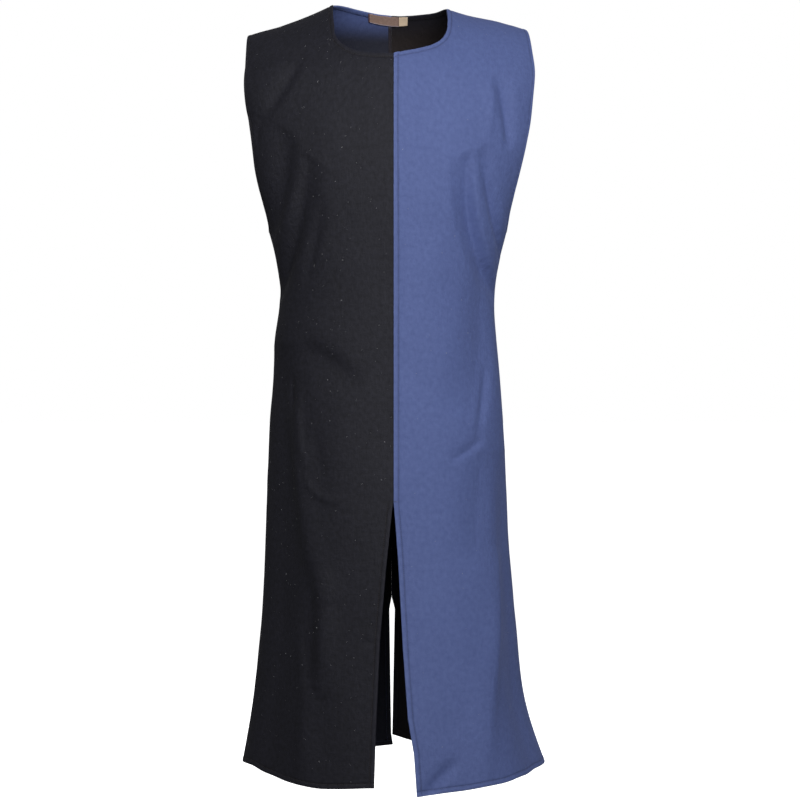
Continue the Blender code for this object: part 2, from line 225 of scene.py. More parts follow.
# Creases and soft folds. Each runs from its start to its end, bowed to its middle side, and has a
# width on that side and on the outer side. Its depth is negative for a trough. Crisp is 0 for a
# round fold and 1 for two flat facets that meet at its line
CREASE_NAMES = "start start_z end end_z bow middle_width outer_width depth crisp"
CREASES = {}
CREASES["front_right"] = table(CREASE_NAMES, (
    (340, -62, 640, -173, 10, 6, 16, -5.4, 0),
    (370, -64, 630, -153, 6, 7, 9, 0.8, 0),
    (610, -163, 705, -203, -3, 5, 6, -2.5, 0),
    (335, -82, 630, -86, 1, 30, 9, 3, 0),
    (465, -187, 890, -337, 24, 14, 22, -10, 0),
    (400, -227, 660, -332, 6, 7, 7, 2.6, 0),
    (360, -228, 960, -430, 21, 26, 20, -14.5, 0.6),
    (660, -85, 700, -160, 0, 40, 14, 3.6, 0),
    (340, -284, 540, -409, 4, 12, 18, -4.5, 0.5),
    (165, -77, 160, -111, 2, 4, 5, -1, 0),
    (555, -503, 160, -566, 9, 16, 34, -5, 0.3),
    (635, -542, 615, -600, -2, 7, 8, -3, 0),
    (760, -478, 630, -761, -2, 34, 24, -1.5, 0),
    (545, -559, 480, -680, -7, 8, 9, 3, 0),
    (405, -624, 355, -703, -3, 9, 9, -1.6, 0),
    (485, -697, 235, -731, -12, 9, 4, 2.2, 0),
    (590, -583, 340, -884, -11, 30, 20, 8, 0.4),
    (350, -831, 345, -1020, 2, 24, 20, 6.5, 0.4),
    (420, -818, 390, -1022, -1, 9, 18, -4.5, 0),
    (730, -500, 570, -1400, 0, 74, 58, -22, 0),
    (520, -908, 425, -1025, -4, 9, 10, 1.6, 0),
    (395, -1006, 340, -1006, -4, 4, 5, -1.8, 0),
    (430, -993, 390, -1165, -2, 26, 16, 6, 0.4),
    (155, -938, 80, -933, 1, 4, 5, -1, 0),
), "crisp")
CREASES["front_left"] = table(CREASE_NAMES, (
    (450, -100, 605, -209, 0, 8, 11, -8.5, 0),
    (400, -104, 450, -197, -4, 9, 6, 3.2, 0),
    (315, -226, 490, -196, 3, 10, 12, 1.4, 0),
    (425, -209, 975, -370, 22, 11, 12, -10, 0.3),
    (355, -219, 960, -424, 40, 32, 13, -17, 0.9),
    (260, -222, 375, -328, 4, 10, 4, 1.4, 0),
    (420, -254, 715, -370, 11, 7, 7, 1.2, 0),
    (665, -375, 440, -613, -28, 64, 44, -10.5, 0.4),
    (710, -478, 660, -761, 0, 34, 24, -1, 0),
    (710, -529, 525, -639, -4, 10, 10, -4.6, 0),
    (330, -675, 610, -638, 2, 3, 11, -4.2, 0),
    (570, -660, 495, -833, 3, 36, 34, -7, 0.5),
    (720, -804, 360, -1151, -4, 34, 18, 7.5, 0.4),
    (850, -660, 730, -1350, 0, 46, 36, -13, 0),
    (255, -1032, 325, -1069, 1, 10, 10, -1, 0),
    (115, -1152, 280, -1100, -1, 5, 8, -7.5, 0),
    (310, -63, 240, -104, -2, 8, 8, -1, 0),
    (165, -167, 200, -328, 8, 22, 22, 1.6, 0),
), "crisp")
CREASES["back_right"] = table(CREASE_NAMES, (
    (420, -70, 640, -170, 6, 6, 10, -3.5, 0),
    (460, -135, 840, -350, 18, 10, 13, -7, 0),
    (300, -230, 820, -430, 26, 18, 14, -8.5, 0.5),
    (380, -290, 760, -390, 12, 9, 8, 2.2, 0),
    (160, -460, 520, -515, -8, 12, 8, -3, 0),
    (660, -470, 380, -570, 6, 10, 9, -3, 0),
    (440, -520, 360, -1160, 10, 30, 18, 7, 0.4),
    (700, -560, 620, -1170, 8, 56, 36, -10, 0.7),
    (180, -760, 240, -1040, 4, 16, 16, -2.4, 0),
    (100, -150, 180, -340, 4, 20, 20, -1.4, 0),
), "crisp")
CREASES["back_left"] = table(CREASE_NAMES, (
    (460, -80, 620, -180, 4, 5, 9, -3, 0),
    (500, -120, 860, -340, 16, 9, 12, -6, 0),
    (340, -200, 840, -420, 30, 18, 14, -8.5, 0.5),
    (420, -270, 740, -375, 14, 9, 8, 2.2, 0),
    (180, -440, 460, -510, -6, 10, 8, -2.8, 0),
    (360, -560, 440, -1160, 12, 28, 18, 6.5, 0.4),
    (660, -620, 700, -1170, 6, 50, 36, -9.5, 0.7),
    (220, -780, 200, -1060, 4, 16, 16, 2.4, 0),
    (120, -180, 160, -360, 4, 20, 20, 1.4, 0),
), "crisp")
FACET_ROUND = 0.12
CREASE_FULLNESS = 0.65

# Unevenness of the whole cloth: how far round and how tall a dimple is, and how high, each size
# drawn from a square lattice of chance numbers
LATTICE = 128
UNEVENNESS = table("round tall height seed", (
    (85, 180, 1.6, 3),
    (34, 60, 0.45, 4),
    (13, 24, 0.16, 5),
), "seed")

# Lines of a panel's mesh beside every edge, by their distance from it, and the lines between
EDGE_LINES = metres((0, 0.2, 0.5, 1.1, 3, 5.2, 6.6, 7.3, 8, 8.7, 10.5))
STITCH_INDEX = 7
STITCH_LINE = EDGE_LINES[STITCH_INDEX]
LINES_ACROSS = 72
LINES_DOWN = 262
BLEND_ROWS = 1.5
BLEND_LINES = 8

# Steps by which lengths, normals and the mesh's speed over the cloth are worked out
LENGTH_STEPS = 25
NORMAL_STEP = 0.001
SPEED_STEP = 0.002

# Rows over which a slit's and an armhole's hem begin, and how far inside its ends stitches stop
SLIT_EASE = 0.1
ARMHOLE_EASE = 0.3
ARMHOLE_STOP = 0.25

# Section of a turned hem and of a seam: how round they are, and how far the band between a fold
# and its stitching stands out, the stitching sinks in and the cloth puckers along it
THINNEST = 0.0001
SEAM_ROUND = 0.0005
BAND_START = 0.002
BAND_END = 0.0058
BAND_RISE = 0.0003
GROOVE = 0.0006
GROOVE_WIDTH = 0.00085
PUCKER = 0.00022
PUCKER_LENGTH = 0.0065
PUCKER_WIDTH = 0.0025
PUCKER_SEED = 11

# How far from a fold the cloth turns paler, partly as rubbed wear and partly as a painted highlight,
# how much painted shade darkens its sunk stitching, how much of the inner colour, a painted shade
# colour, that takes on, and how far below the neck painted shade on the inside starts and ends
WEAR_AND_HIGHLIGHT_REACH = (0.0006, 0.0045)
STITCH_SHADE = 0.8
GROOVE_SHADE = 0.4
PAINTED_INSIDE_SHADE = (-0.025, 0.016)

# Threads: square in section, and raised, dipped and tapered along each stitch. Those of the front's
# neck and hem begin a little way from the middle
THREAD = 0.00021
STITCH_PITCH = 0.003
STITCH_LENGTH = 0.0025
STITCH_RISE = 0.00022
STITCH_DIP = 0.00045
STITCH_TAPER = 0.5
STITCH_RINGS = np.array((-1.0, -0.7, 0.0, 0.7, 1.0))
STITCHED_FROM = 0.0032

# Bar tack: how many rows above the slit it lies, from where to where across the lap, and its threads
BAR_ABOVE = 0.15
BAR_REACH = (0.0004, 0.0058)
BAR_THREADS = 16
BAR_HEIGHT = 0.0017
BAR_RISE = 0.0003
BAR_DIP = 0.0004
BAR_RINGS = 5

# Seam allowances inside, by seam, panel, its edge, and the rows that they run between
ALLOWANCE_LINES = metres((0.1, 0.4, 1, 2.2, 3.4, 4.4, 5, 5.3))
ALLOWANCE_CLOTH = 0.0011
ALLOWANCE_GAP = 0.0001
ALLOWANCE_ROUND = 0.0006
WAVER = 0.12
WAVER_SIZE = (0.019, 0.05)
WAVER_SEED = 21
OVERLOCK_PITCH = 0.0026
OVERLOCK_SWING = 0.0018
OVERLOCK_LIFT = THREAD * 0.7
ALLOWANCES = (
    ("middle", "back_right", "near", 0.6, 32.6),
    ("side", "back_right", "far", 19.2, 39.7),
    ("side", "back_left", "far", 19.2, 39.7),
    ("shoulder", "back_right", "far", 0.5, 5.6),
    ("shoulder", "back_left", "far", 0.5, 5.6),
)

# Stray fibres: how many lie on a panel of each colour, their middling and least length, the angle
# through which they curl, how thick they are and how they lift off the cloth
LINT_COUNT = {"black": 420, "blue": 120}
LINT_SEED = 31
LINT_ASTRAY = 0.002
LINT_REACH = 0.0016
LINT_SPREAD = 2.0
LINT_LEAST = 0.0005
LINT_CURL = (1.5, 7.0)
LINT_THREAD = 0.00013
LINT_THICKNESS = (2.5, 0.28)
LINT_REST = LINT_THREAD * 0.8
LINT_LIFT = 0.00022
LINT_WAVE = 1.7
LINT_RINGS = 7

# Bare labels inside the back neck: from x to x, length, how far the foot bows off the cloth, and
# how much more its corners do
LABEL_CLOTH = 0.0007
LABEL_RIM = 0.00005
LABEL_GAP = 0.0002
LABEL_TOP = 0.0008
LABEL_CORNER = 0.6
FOLD_WIDTH = 0.0022
SELVEDGE_WIDTH = 0.0012
SELVEDGE = (196, 186, 204)
LABEL_COLUMNS = 60
LABEL_LINES = 24
NECK_STEPS = 200
LABELS = {
    "label": (-0.038, 0.0106, 0.0142, 0.0004),
    "size_tab": (0.011, 0.025, 0.0136, 0.0005),
}

# Yarns of the plain weave, how far they stand out, and how far slubs do
YARN_PITCH = 0.0011
WEAVE_RELIEF = 0.00006
SLUB_RELIEF = 0.0005

# Marks of the canvas: sizes across and down, detail and roughness, and their shares in how the dye
# fades and in how the slubs stand out. They are yarns down, yarns across, flecks and clouds
CANVAS_MARKS = (
    (0.003, 0.012, 2, 0.5, 0.26, 0.5),
    (0.012, 0.0028, 2, 0.5, 0.12, 0.3),
    (0.0068, 0.0078, 2, 0.55, 1, 0.8),
    (0.055, 0.08, 3, 0.5, 0.34, 0),
)
# How much the paler fold edges, rubbed wear and a painted highlight, and the painted shade of sunk
# stitching weigh in the cloth's tone
FOLD_WEAR_AND_LIGHT = 0.8

# How rough the canvas is, and how much smoother its paler flecks are
MATTNESS = 0.7
GLOSS_SPREAD = 0.06

# How much the nap on the canvas shows, seen along it
FUZZ = 0.26

# Marks of a sewing thread and its twist
THREAD_MARK = (0.0012, 0.0012, 0.0012)
TWIST = (0.0002, 0.0002, 0.0002)
TWIST_RELIEF = 0.00003

# Ribs of a woven label, its blotches and the faint ground between them, with their shares
RIB_PITCH = 0.0009
RIB_RELIEF = 0.00006
RIB_SHARE = 0.12
BLOTCH = (0.0042, 0.003, 1)
BLOTCH_SHARE = 0.55
GROUND_MARK = (0.0011, 0.0011, 1)
GROUND_SHARE = 0.2
GROUND_SPREAD = 0.4
SELVEDGE_SHARE = 0.6
FOLD_SHARE = 0.85

# Where the camera stands, the lens that gives the photograph's frame, the floor's height, rings and
# sides, and how bright the room is straight above and below
CAMERA = (0.0123, -2.4, -0.583)
LENS = 70.2
FLOOR_Z = -1.5
FLOOR_RINGS = (0.02, 1.0, 60.0)
FLOOR_SIDES = 64
WHITE = (1, 1, 1, 1)
ROOM_ABOVE = 0.22
ROOM_BELOW = 0.06

# Softboxes: name, place, the height on the middle line that each is turned to, its width, height
# and power
LIGHTS = (
    ("left_key", (0.6, -2, 0.1), -0.45, 0.6, 0.9, 18.2),
    ("right_key", (-0.6, -2, 0.1), -0.45, 0.6, 0.9, 4),
    ("middle_key", (0, -1.5, 0.15), -0.5, 0.5, 0.5, 6.9),
    ("right_side", (-1.6, -0.9, 0.45), -0.35, 0.9, 1.4, 1.8),
    ("left_side", (1.6, -0.9, 0.45), -0.35, 0.9, 1.4, 2.5),
    ("back", (0, 2.6, 0.4), -0.5, 1.4, 1.4, 42),
)


def smooth(x, xs, ys):
    """A smooth curve through a short table, each piece a cubic with its neighbours' slopes."""
    slope = np.gradient(ys, xs)
    i = np.clip(np.searchsorted(xs, x) - 1, 0, len(xs) - 2)
    step = xs[i + 1] - xs[i]
    t = (x - xs[i]) / step
    start = (1 + 2 * t) * (1 - t) ** 2 * ys[i] + t * (1 - t) ** 2 * step * slope[i]
    end = t * t * (3 - 2 * t) * ys[i + 1] + t * t * (t - 1) * step * slope[i + 1]
    return start + end


def section(name, drop):
    """A half width or depth of the garment at a drop, on the smooth curve through its column."""
    return smooth(drop, SECTIONS["drop"], SECTIONS[name])


def ridge(side, across):
    """Height of the shoulders' ridge at a distance from the middle."""
    return smooth(np.abs(across), RIDGE["across"], RIDGE[side])


def hem_height(face, side, around):
    """Height of a panel's hem, on the smooth curve through its column."""
    return smooth(around, HEM["around"], HEM[face + "_" + side])


def fall(face, run):
    """Drop and outward share at a run down the cloth: a quarter round, then straight down."""
    radius = SHOULDER_ROUND[face]
    turn = np.minimum(run / radius, np.pi / 2)
    drop = radius * (1 - np.cos(turn)) + np.maximum(run - radius * np.pi / 2, 0)
    return drop, np.sin(turn)


def run_at(face, drop):
    """The run at which the cloth has fallen by a drop: the inverse of `fall`."""
    radius = SHOULDER_ROUND[face]
    turn = np.arccos(np.clip(1 - drop / radius, -1, 1))
    return np.where(drop < radius, radius * turn, radius * np.pi / 2 + drop - radius)


def surface(face, side, around, run):
    """A point of the garment: a rounded section, half width times the sine of the angle round by
    depth times a power of its cosine, at its drop below the shoulder ridge."""
    drop, share = fall(face, run)
    angle = around * np.pi / 2
    across = section(side, drop) * np.sin(angle)
    cosine = np.cos(angle)
    depth = np.sign(cosine) * np.abs(cosine) ** SECTION_ROUND[face]
    y = SIGN[face] * section(face + "_" + side, drop) * depth * share
    z = ridge(side, across) * np.exp(-drop / RIDGE_FADE) - drop
    return np.stack([SIGN[side] * across, y, z], -1)


def unit(vectors):
    """Vectors divided by their lengths."""
    return vectors / np.linalg.norm(vectors, axis=-1, keepdims=True)


def outward(face, side, around, run):
    """The surface's outward normal: the cross product of its steps round and down."""
    step = NORMAL_STEP
    along = surface(face, side, around + step, run) - surface(face, side, around - step, run)
    down = surface(face, side, around, run + step) - surface(face, side, around, run - step)
    return unit(np.cross(along, down) * SIGN[face] * SIGN[side])


def seen_at(face, side, x, z):
    """How far round and down the cloth the point lies that is at x and z from the front."""
    across = x * SIGN[side]
    height = ridge(side, across)
    drop = np.maximum(height - z, 0)
    for _ in range(DROP_STEPS):
        drop = (drop + np.maximum(height * np.exp(-drop / RIDGE_FADE) - z, 0)) / 2
    around = np.arcsin(np.clip(across / section(side, drop), -1, 1)) * 2 / np.pi
    return around, run_at(face, drop)


def through(first, between, last, t):
    """A smooth curve of around and run through its ends and the points between, t from 0 to 1."""
    around, run = (np.concatenate([[a], b, [c]]) for a, b, c in zip(first, between, last))
    steps = np.hypot(np.diff(around) * SPAN, np.diff(run))
    length = np.concatenate([[0], np.cumsum(steps)])
    at = t * length[-1]
    return smooth(at, length, around), smooth(at, length, run)


def middle_heights(face, side):
    """The set rows down the middle edge, from the neck to the hem, and their heights."""
    heights = [NECK[face]["z_" + side][0], *ROWS[face]["z"], hem_height(face, side, 0.0)]
    return [0, *ROWS[face]["row"], LAST_ROW], np.array(heights)


def middle_edge(face, side, row):
    """The middle edge at a row: down the seam, then along the slit."""
    edge = MIDDLE[face + "_" + side]
    z = np.interp(row, *middle_heights(face, side))
    x = np.interp(-z, -edge["z"], edge["x"])
    return seen_at(face, side, x, z)


def shoulder_edge(side, t):
    """The shoulder seam along the ridge, from the neck point at 0 to the tip at 1."""
    across = NECK_POINT[side] + (SHOULDER_TIP[side] - NECK_POINT[side]) * t
    return np.arcsin(across / section(side, 0)) * 2 / np.pi, 0 * across


def neck_edge(face, side, t):
    """The neckline, from the panel's middle edge at 0 to the neck point at 1."""
    x = SIGN[side] * NECK[face]["across_" + side][1:]
    between = seen_at(face, side, x, NECK[face]["z_" + side][1:])
    return through(middle_edge(face, side, 0), between, shoulder_edge(side, 0), t)


def armhole_edge(face, side, t):
    """The armhole, from the shoulder tip at 0 to the underarm at 1."""
    between = ARMHOLE[side], run_at(face, -ARMHOLE["z"])
    return through(shoulder_edge(side, 1), between, (1.0, run_at(face, -UNDERARM)), t)


def outer_edge(face, side, row):
    """The outer edge at a row: shoulder seam, armhole, then side seam down to the hem."""
    stage = np.interp(row, [0, *ROWS[face]["row"], LAST_ROW], [0, *ROWS[face]["outer"], 3])
    shoulder = shoulder_edge(side, np.clip(stage, 0, 1))
    armhole = armhole_edge(face, side, np.clip(stage - 1, 0, 1))
    top, foot = run_at(face, -UNDERARM), run_at(face, -hem_height(face, side, 1.0))
    seam = 1.0, top + (foot - top) * (stage - 2)
    parts = zip(shoulder, armhole, seam)
    return tuple(np.where(stage < 1, a, np.where(stage < 2, b, c)) for a, b, c in parts)


def hem_edge(face, side, t):
    """The hem, from the middle edge at 0 to the side seam at 1."""
    first = middle_edge(face, side, LAST_ROW)[0]
    around = first + (1 - first) * t
    return around, run_at(face, -hem_height(face, side, around))


def patch(face, side, u, row):
    """A point of the panel between its four edges: the blends of the two pairs of edges, less
    the blend of the four corners."""
    v = row / LAST_ROW
    corner = {
        (u_end, row_end): np.reshape(edge(face, side, row_end), (2, *[1] * np.ndim(u)))
        for u_end, edge in ((0, middle_edge), (1, outer_edge))
        for row_end in (0, LAST_ROW)
    }
    down = (1 - v) * np.array(neck_edge(face, side, u)) + v * np.array(hem_edge(face, side, u))
    middle, outer = np.array(middle_edge(face, side, row)), np.array(outer_edge(face, side, row))
    across = (1 - u) * middle + u * outer
    upper = (1 - u) * corner[0, 0] + u * corner[1, 0]
    lower = (1 - u) * corner[0, LAST_ROW] + u * corner[1, LAST_ROW]
    return down + across - (1 - v) * upper - v * lower


def noise(x, y, size_x, size_y, seed, turns=None):
    """Smooth uneven heights from -1 to 1: a lattice of chance numbers, eased between its points.
    With turns, x comes round to its start after that many cells."""
    lattice = np.random.default_rng(seed).uniform(-1, 1, (LATTICE, LATTICE))
    gx, gy = x / size_x, y / size_y
    ix, iy = np.floor(gx).astype(int), np.floor(gy).astype(int)
    fx, fy = gx - ix, gy - iy
    fx, fy = fx**3 * (fx * (fx * 6 - 15) + 10), fy**3 * (fy * (fy * 6 - 15) + 10)
    wrap = turns or LATTICE
    a, b = ix % wrap % LATTICE, (ix + 1) % wrap % LATTICE
    c, d = iy % LATTICE, (iy + 1) % LATTICE
    near = lattice[a, c] * (1 - fx) + lattice[b, c] * fx
    far = lattice[a, d] * (1 - fx) + lattice[b, d] * fx
    return near * (1 - fy) + far * fy


def turn_of(face, side, around):
    """How far round the whole garment: 0 at the middle front, 1 and -1 at the sides, 2 behind."""
    return SIGN[side] * (around if face == "front" else 2 - around)


def fold_shape(across, crisp):
    """A fold's section, 1 or a little less on its line: a bell, or two facets that fall evenly to
    nothing one width away with their three bends eased, or a mix of the two."""
    facets = 1 - np.hypot(across, FACET_ROUND)
    facets = (facets + np.hypot(facets, FACET_ROUND)) / 2
    return (1 - crisp) * np.exp(-(across**2)) + crisp * facets


def creases(turn, z):
    """How far the creases push the cloth out. Each has its section across a bowed line, wider on
    one side, times a power of a sine along it, and it carries on over the seams."""
    height = np.zeros_like(z)
    for name, (face, side, _) in PANELS.items():
        around = SIGN[side] * turn if face == "front" else 2 - SIGN[side] * turn
        around = (around + 2) % 4 - 2
        for row in zip(*CREASES[name].values()):
            start, start_z, end, end_z, bow, middle_width, outer_width, depth, crisp = row
            line = np.array(((end - start) * SPAN, end_z - start_z))
            away = np.stack([(around - start) * SPAN, z - start_z], -1)
            along = np.clip(away @ line / (line @ line), 0, 1)
            off = (away[..., 0] * line[1] - away[..., 1] * line[0]) / np.hypot(*line)
            off = off - 4 * bow * along * (1 - along)
            width = np.where(off > 0, middle_width, outer_width)
            height += depth * fold_shape(off / width, crisp) * np.sin(np.pi * along) ** CREASE_FULLNESS
    return height


def relief(face, side, around, z):
    """How far the cloth stands off its smooth form: creases and unevenness."""
    turn = turn_of(face, side, around)
    height = creases(turn, z)
    for size, tall, rise, seed in zip(*UNEVENNESS.values()):
        cells = max(round(4 * SPAN / size), 4)
        height += rise * noise(turn + 2, z + 2, 4 / cells, tall, int(seed), cells)
    return height


def cloth(face, side, u, row):
    """Points of the creased cloth and its outward normals, at a panel's u and row."""
    around, run = patch(face, side, u, row)
    level = surface(face, side, around, run)
    normal = outward(face, side, around, run)
    out = relief(face, side, around, level[..., 2])
    return level + normal * out[..., None], normal, around, run


def speed(face, side, u, row, du, drow):
    """Metres of cloth for each unit of u or row, from a point and one a little further on."""
    a, b = (surface(face, side, *patch(face, side, u + k * du, row + k * drow)) for k in (0, 1))
    return np.linalg.norm(b - a, axis=-1) / (du + drow)


def even_rows(face, side):
    """Rows a few millimetres apart all the way down the middle edge, between its two blends."""
    rows, heights = middle_heights(face, side)
    start, end = np.interp([BLEND_ROWS, LAST_ROW - BLEND_ROWS], rows, heights)
    return np.interp(-np.linspace(start, end, LINES_DOWN), -heights, rows)


def panel_lines(face, side):
    """The u and row of every point of a panel's mesh: lines at set distances from all four edges,
    and even ones between."""
    little = SPEED_STEP
    blend = np.arange(1, BLEND_LINES) / BLEND_LINES
    shares = np.arange(1, LINES_ACROSS + 1) / (LINES_ACROSS + 1)
    edge, last = EDGE_LINES, EDGE_LINES[-1]

    u_rough = np.concatenate([np.zeros(len(edge)), shares, np.ones(len(edge))])
    top = speed(face, side, u_rough, 0 * u_rough, 0, little)
    foot = speed(face, side, u_rough, 0 * u_rough + LAST_ROW - little, 0, little)
    rows = [d / top for d in edge]
    rows += [last / top * (1 - k) + BLEND_ROWS * k for k in blend]
    rows += [0 * top + k for k in even_rows(face, side)]
    rows += [(LAST_ROW - BLEND_ROWS) * (1 - k) + (LAST_ROW - last / foot) * k for k in blend]
    rows += [LAST_ROW - d / foot for d in edge[::-1]]
    row = np.stack(rows)

    near = speed(face, side, 0 * row[:, 0], row[:, 0], little, 0)
    far = speed(face, side, 0 * row[:, -1] + 1 - little, row[:, -1], little, 0)
    u = [d / near for d in edge]
    u += [last / near + (1 - last / far - last / near) * k for k in shares]
    u += [1 - d / far for d in edge[::-1]]
    return np.stack(u, 1), row


def rounded(distance, radius):
    """How far a rounded edge of that radius lies below the cloth's face."""
    inside = np.maximum(radius - distance, 0)
    return radius - np.sqrt(radius**2 - inside**2)


def ramp(x, start, end):
    """0 before start and 1 past end, eased between."""
    t = np.clip((x - start) / (end - start), 0, 1)
    return t * t * (3 - 2 * t)


def bell(x, width):
    """1 at 0, falling to nothing a few widths away."""
    return np.exp(-((x / width) ** 2))


def panel(face, side):
    """A panel's outer and inner points. Each edge is a turned hem, stitched down and rounded, or a
    seam that dips in to its neighbour's. The left front's seam is a folded lap on the right one."""
    u, row = panel_lines(face, side)
    points, normal, around, run = cloth(face, side, u, row)
    z = points[..., 2]
    top, near = (np.append(EDGE_LINES, np.ones(count - len(EDGE_LINES))) for count in u.shape)
    top, near = top[:, None], near[None]
    foot, far = top[::-1], near[:, ::-1]

    left_front = float((face, side) == ("front", "left"))
    slit = ramp(row[:, :1], SLIT_ROW[face] - SLIT_EASE, SLIT_ROW[face] + SLIT_EASE)
    lap = left_front * (1 - ramp(row, SLIT_ROW[face], SLIT_ROW[face] + 1))
    lap = lap * (1 - ramp(near, STITCH_LINE, EDGE_LINES[-1]))
    armhole = ramp(row[:, -1:], TIP_ROW, TIP_ROW + ARMHOLE_EASE)
    armhole = armhole * (1 - ramp(row[:, -1:], UNDERARM_ROW - ARMHOLE_EASE, UNDERARM_ROW))
    edges = (
        (top, 1, 1, around * SPAN),
        (foot, 1, 1, around * SPAN),
        (near, np.maximum(slit, left_front), slit, z),
        (far, armhole, armhole, z),
    )
    thick = np.full_like(z, CLOTH)
    for distance, _, doubled, _ in edges:
        hem = (HEM_CLOTH - CLOTH) * (1 - ramp(distance, HEM_WIDTH, HEM_END)) * doubled * (1 - lap)
        thick = np.maximum(thick, CLOTH + hem)

    fold, seam, rise, groove, pucker, wear = (np.zeros_like(z) for _ in range(6))
    for distance, folded, _, along in edges:
        fold = np.maximum(fold, rounded(distance, thick / 2 - THINNEST) * folded)
        seam = np.maximum(seam, rounded(distance, SEAM_ROUND) * (1 - folded))
        band = ramp(distance, 0, BAND_START) * (1 - ramp(distance, BAND_END, STITCH_LINE))
        rise = np.maximum(rise, BAND_RISE * band * folded)
        stitched = bell(distance - STITCH_LINE, GROOVE_WIDTH) * folded
        groove = np.maximum(groove, stitched)
        waver = noise(along, 0 * along, PUCKER_LENGTH, 1, PUCKER_SEED)
        pucker += PUCKER * waver * bell(distance - STITCH_LINE, PUCKER_WIDTH) * folded
        # Paler near a folded edge: partly rubbed wear, partly a painted highlight
        wear = np.maximum(wear, (1 - ramp(distance, *WEAR_AND_HIGHLIGHT_REACH)) * folded)
    # Painted shade in the sunk stitching, as a share below nothing
    wear -= STITCH_SHADE * groove
    groove *= GROOVE
    out = LAP_LIFT * lap + rise + pucker - np.maximum(fold, seam) - groove
    back = LAP_LIFT * lap - thick + fold + groove / 2
    return {
        "outer": points + normal * out[..., None],
        "inner": points + normal * back[..., None],
        "normal": normal,
        "row": row,
        "wear": wear,
        # Painted shade on the inside, deepening below the neck
        "inside": ramp(-z, *PAINTED_INSIDE_SHADE),
        "cloth": np.stack([cloth_length(face, side, around, run), run], -1),
    }


def cloth_length(face, side, around, run):
    """How far across the cloth a point lies from the middle: the length of the level line to it."""
    line = np.stack([surface(face, side, around * k, run) for k in np.linspace(0, 1, LENGTH_STEPS)])
    return np.linalg.norm(np.diff(line, axis=0), axis=-1).sum(0)


def placed(name, data):
    """A new object in the scene."""
    made = bpy.data.objects.new(name, data)
    bpy.context.scene.collection.objects.link(made)
    return made


def add_mesh(name, points, quads, material, uv=None, **shares):
    """A mesh object of points and quads, with each point's place on the cloth and named shares."""
    mesh = bpy.data.meshes.new(name)
    corners = np.asarray(quads, np.int32).ravel()
    mesh.vertices.add(len(points))
    mesh.vertices.foreach_set("co", np.asarray(points, np.float32).ravel())
    mesh.loops.add(len(corners))
    mesh.loops.foreach_set("vertex_index", corners)
    mesh.polygons.add(len(corners) // 4)
    mesh.polygons.foreach_set("loop_start", np.arange(0, len(corners), 4, dtype=np.int32))
    mesh.update(calc_edges=True)
    mesh.shade_smooth()
    mesh.materials.append(material)
    if uv is not None:
        layer = mesh.uv_layers.new(name="cloth")
        layer.uv.foreach_set("vector", np.asarray(uv, np.float32)[corners].ravel())
    for share, values in shares.items():
        layer = mesh.attributes.new(share, "FLOAT", "POINT")
        layer.data.foreach_set("value", np.asarray(values, np.float32).ravel())
    piece = placed(name, mesh)
    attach(piece, "root")
    return piece


def slab(outer, inner, flip):
    """Points and quads of a closed wall between two grids: both faces and the four rims."""
    lines, columns = outer.shape[:2]
    index = np.arange(lines * columns).reshape(lines, columns)
    face = np.stack([index[:-1, :-1], index[1:, :-1], index[1:, 1:], index[:-1, 1:]], -1).reshape(-1, 4)
    rim = np.concatenate([index[:-1, 0], index[-1, :-1], index[:0:-1, -1], index[0, :0:-1]])
    onward = np.roll(rim, -1)
    behind = lines * columns
    rims = np.stack([rim, rim + behind, onward + behind, onward], -1)
    quads = np.concatenate([face, face[:, ::-1] + behind, rims])
    points = np.concatenate([outer.reshape(-1, 3), inner.reshape(-1, 3)])
    return points, quads[:, ::-1] if flip else quads


def joined(parts):
    """Points and quads of several parts as one."""
    counts = np.cumsum([0, *(len(points) for points, _ in parts)])
    quads = [quads + shift for (_, quads), shift in zip(parts, counts)]
    return np.concatenate([points for points, _ in parts]), np.concatenate(quads)


def tubes(lines, up, radius):
    """Points and quads of square threads along lines of points, one line in each row: a ring about
    every point, in the plane of `up` and the way across, closed at both ends."""
    direction = unit(np.gradient(lines, axis=1))
    across = unit(np.cross(direction, up))
    up = np.cross(across, direction)
    turn = np.arange(4) * np.pi / 2
    ring = up[:, :, None] * np.sin(turn)[:, None] + across[:, :, None] * np.cos(turn)[:, None]
    points = lines[:, :, None] + ring * np.asarray(radius)[..., None, None]
    index = np.arange(points[..., 0].size).reshape(points.shape[:3])
    onward = np.roll(index, -1, axis=2)
    sides = np.stack([index[:, :-1], onward[:, :-1], onward[:, 1:], index[:, 1:]], -1)
    quads = [sides.reshape(-1, 4), index[:, 0, ::-1], index[:, -1]]
    return points.reshape(-1, 3), np.concatenate(quads)


def beside(made, edge, layer, distances):
    """Points and outward normals on a panel's outer or inner face, at distances from one of its
    edges: blends of the lines of its mesh there. The edge runs along the first axis."""
    both = np.concatenate([made[layer], made["normal"]], -1)
    if edge in ("top", "foot"):
        both = both.swapaxes(0, 1)
    if edge in ("foot", "far"):
        both = both[:, ::-1]
    at = np.interp(distances, EDGE_LINES, np.arange(len(EDGE_LINES)))
    i = np.minimum(at.astype(int), len(EDGE_LINES) - 2)
    share = (at - i)[:, None]
    found = both[:, i] * (1 - share) + both[:, i + 1] * share
    return found[..., :3], unit(found[..., 3:])


def evenly(line, pitch, *others):
    """Points at an even pitch along a line, and what goes with it there, such as its normals."""
    length = np.concatenate([[0], np.cumsum(np.linalg.norm(np.diff(line, axis=0), axis=1))])
    count = max(int(length[-1] / pitch), 2)
    at = (np.arange(count) + 0.5) * length[-1] / count
    return [np.stack([np.interp(at, length, p[:, k]) for k in range(3)], 1) for p in (line, *others)]


